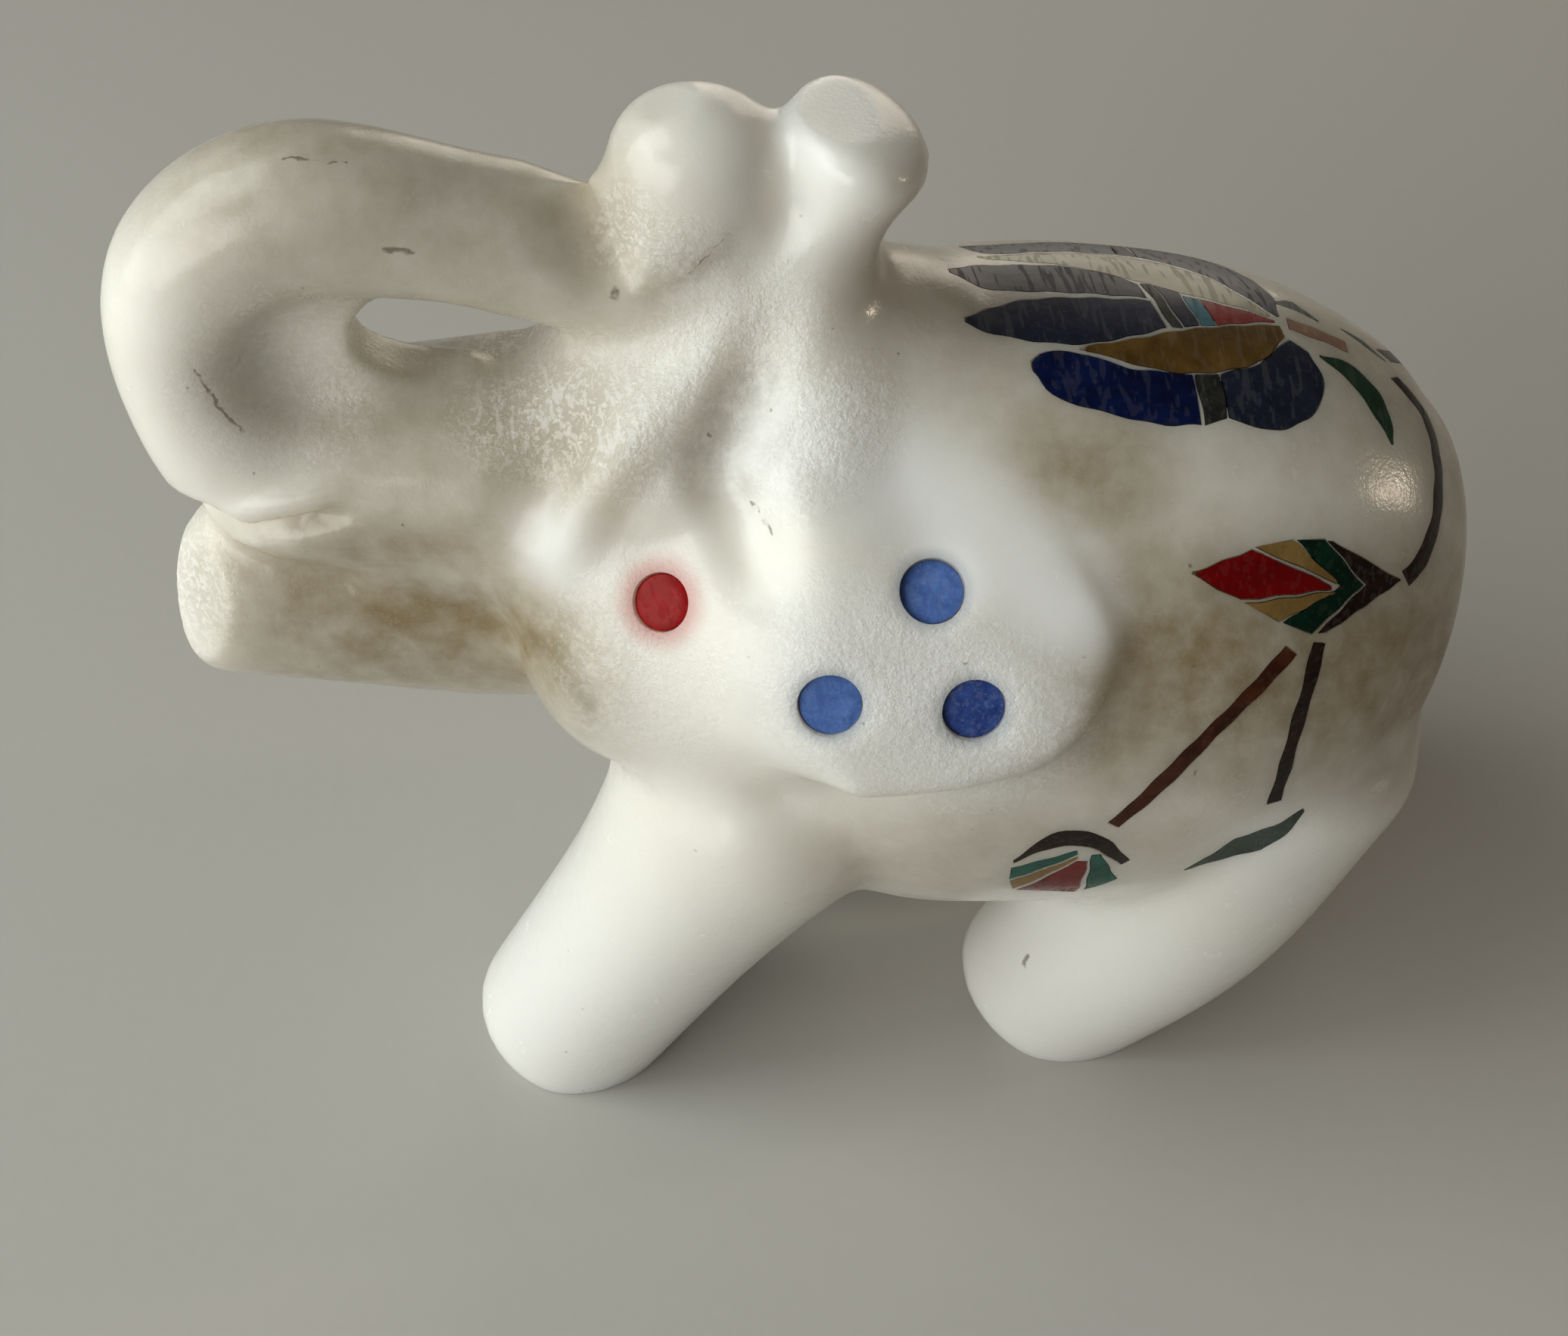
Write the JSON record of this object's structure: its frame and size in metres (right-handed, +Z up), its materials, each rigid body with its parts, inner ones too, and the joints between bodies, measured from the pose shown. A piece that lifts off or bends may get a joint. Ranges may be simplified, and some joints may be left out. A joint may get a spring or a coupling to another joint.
{
  "type": "marble inlay elephant figurine",
  "caption": "Small carved white marble elephant with its trunk curled back to its forehead, and coloured stones let into its ears, back and flanks.",
  "frame": {"origin": "on the floor, under the middle of the figure's box", "axes": "+X from the trunk towards the rump, -Y to the elephant's left side, +Z up"},
  "size_m": [0.0742, 0.0394, 0.0632],
  "materials": {
    "marble": null,
    "lapis": "polished deep blue lapis",
    "lapis_dark": "polished grey-blue lapis, dull from wear",
    "sodalite": "ground blue stone, unpolished",
    "turquoise": "polished turquoise",
    "red_jasper": "polished red stone",
    "coral": "polished pink-red stone",
    "ochre_jasper": "polished ochre stone",
    "shell": "polished cream shell",
    "malachite": "polished green malachite",
    "brown_jasper": "polished brown stone",
    "taupe_filler": "grey-brown stone, matt"
  },
  "bodies": {
    "root": {"marble_elephant": "marble", "eye_left": "red_jasper", "eye_right": "red_jasper", "ear_dot_left_1": "sodalite", "ear_dot_left_2": "sodalite", "ear_dot_left_3": "sodalite", "ear_dot_right_1": "sodalite", "ear_dot_right_2": "sodalite", "ear_dot_right_3": "sodalite", "lotus_bud_left": "lapis_dark", "lotus_bud_right": "lapis_dark", "lotus_bud_joint": "taupe_filler", "lotus_bud_heel": "lapis_dark", "lotus_bud_collar": "turquoise", "lotus_bud_heart": "red_jasper", "lotus_petal_right": "shell", "lotus_petal_left": "ochre_jasper", "lotus_lobe_left_front": "lapis", "lotus_lobe_left_joint": "taupe_filler", "lotus_lobe_left_rear": "lapis_dark", "lotus_lobe_right_front": "lapis_dark", "lotus_lobe_right_joint": "taupe_filler", "lotus_lobe_right_rear": "lapis_dark", "lotus_leaf_left": "malachite", "lotus_leaf_right": "malachite", "lotus_leaf_rear": "malachite", "lotus_stripe": "coral", "flower_left": "red_jasper", "flower_cream_upper_left": "shell", "flower_cream_lower_left": "shell", "flower_collar_left": "malachite", "flower_calyx_left": "brown_jasper", "small_bud_calyx_left": "brown_jasper", "small_bud_green_front_left": "malachite", "small_bud_cream_left": "shell", "small_bud_red_left": "red_jasper", "small_bud_green_rear_left": "malachite", "low_leaf_left": "malachite", "stem_left": "brown_jasper", "twig_front_left": "brown_jasper", "twig_rear_left": "brown_jasper", "flower_right": "red_jasper", "flower_cream_upper_right": "shell", "flower_cream_lower_right": "shell", "flower_collar_right": "malachite", "flower_calyx_right": "brown_jasper", "small_bud_calyx_right": "brown_jasper", "small_bud_green_front_right": "malachite", "small_bud_cream_right": "shell", "small_bud_red_right": "red_jasper", "small_bud_green_rear_right": "malachite", "low_leaf_right": "malachite", "stem_right": "brown_jasper", "twig_front_right": "brown_jasper", "twig_rear_right": "brown_jasper"}
  },
  "joints": []
}
